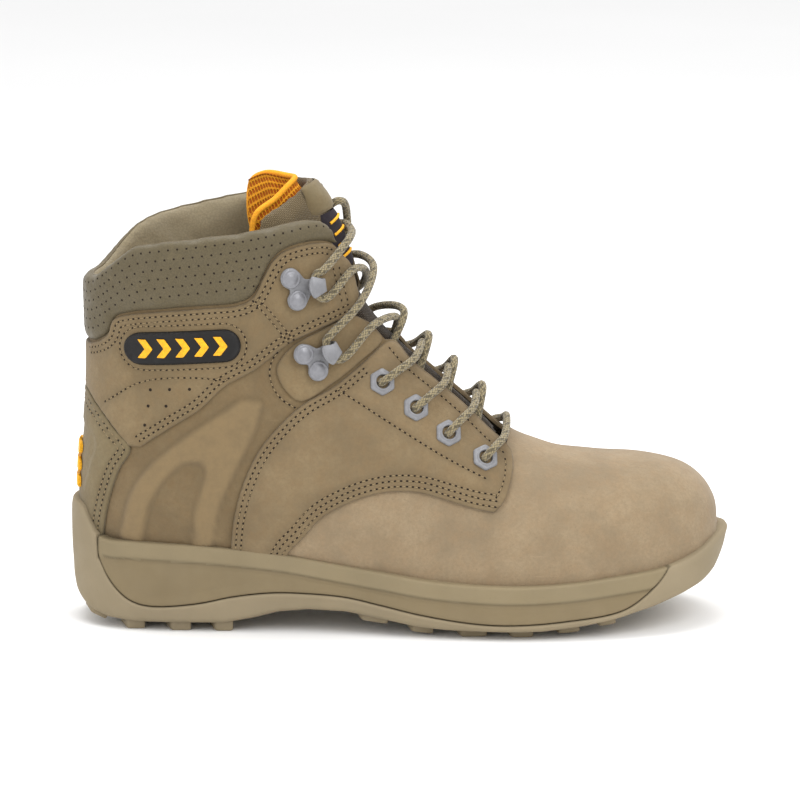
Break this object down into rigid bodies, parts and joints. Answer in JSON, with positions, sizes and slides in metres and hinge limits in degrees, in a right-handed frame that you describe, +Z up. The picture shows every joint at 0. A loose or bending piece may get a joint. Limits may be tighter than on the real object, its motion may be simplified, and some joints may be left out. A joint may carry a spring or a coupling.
{
  "type": "safety work boot",
  "caption": "Lace-up ankle work boot for the right foot with a steel toe cap, steel midsole plate, padded collar and lugged rubber sole, resting on its tread.",
  "frame": {"origin": "on the ground, at the middle of the boot's overall length and width", "axes": "+X towards the toe, +Z up, and the outer side of the foot towards -Y"},
  "size_m": [0.3076, 0.1066, 0.2115],
  "materials": {
    "outsole_rubber": "matt tan rubber",
    "midsole_rubber": "matt tan rubber, a little darker",
    "steel": "plain pressed steel",
    "fibreboard": "pressed fibreboard",
    "footbed_foam": "dark foam",
    "nubuck": "buffed tan nubuck",
    "nubuck_dark": "buffed tan nubuck, darker",
    "collar_leather": "soft brown leather, perforated",
    "lining_fabric": "brown woven lining",
    "webbing": "brown ribbed woven fabric",
    "orange_mesh": "orange spacer mesh",
    "black_rubber": "black moulded rubber",
    "yellow_rubber": "yellow moulded rubber",
    "grey_metal": "grey painted metal",
    "lace_cord": "round braided cord",
    "clear_plastic": "clear brown plastic"
  },
  "bodies": {
    "boot": {"outsole": "outsole_rubber", "midsole": "midsole_rubber", "steel_midsole_plate": "steel", "insole_board": "fibreboard", "footbed": "footbed_foam", "steel_toe_cap": "steel", "heel_stiffener": "fibreboard", "vamp": "nubuck", "vamp_lining": "lining_fabric", "quarter_lining": "lining_fabric", "heel_cover": "nubuck_dark", "collar_pad": "collar_leather", "side_badge": "black_rubber", "heel_badge": "yellow_rubber", "lace": "lace_cord", "aglet_outer_tail": "clear_plastic", "aglet_inner_tail": "clear_plastic", "quarter_lateral": "nubuck_dark", "saddle_lateral": "nubuck", "ankle_panel_lateral": "nubuck", "hook_panel_lateral": "nubuck", "eyelet_lateral_1": "grey_metal", "eyelet_lateral_2": "grey_metal", "eyelet_lateral_3": "grey_metal", "eyelet_lateral_4": "grey_metal", "lace_hook_lateral_lower": "grey_metal", "hook_rivet_lateral_lower_1": "grey_metal", "hook_rivet_lateral_lower_2": "grey_metal", "lace_hook_lateral_upper": "grey_metal", "hook_rivet_lateral_upper_1": "grey_metal", "hook_rivet_lateral_upper_2": "grey_metal", "quarter_medial": "nubuck_dark", "saddle_medial": "nubuck", "ankle_panel_medial": "nubuck", "hook_panel_medial": "nubuck", "eyelet_medial_1": "grey_metal", "eyelet_medial_2": "grey_metal", "eyelet_medial_3": "grey_metal", "eyelet_medial_4": "grey_metal", "lace_hook_medial_lower": "grey_metal", "hook_rivet_medial_lower_1": "grey_metal", "hook_rivet_medial_lower_2": "grey_metal", "lace_hook_medial_upper": "grey_metal", "hook_rivet_medial_upper_1": "grey_metal", "hook_rivet_medial_upper_2": "grey_metal"},
    "tongue_flap": {"tongue": "webbing", "tongue_lining": "orange_mesh", "tongue_label": "black_rubber", "tongue_tab": "nubuck_dark"}
  },
  "joints": [
    {"name": "tongue_fold", "type": "hinge", "parent": "boot", "child": "tongue_flap", "pos_m": [0.049, 0, 0.087], "axis": [0, -1, 0], "range_deg": [0, 12], "stiffness_Nm_per_rad": 0.8, "springref_deg": -1.72}
  ]
}
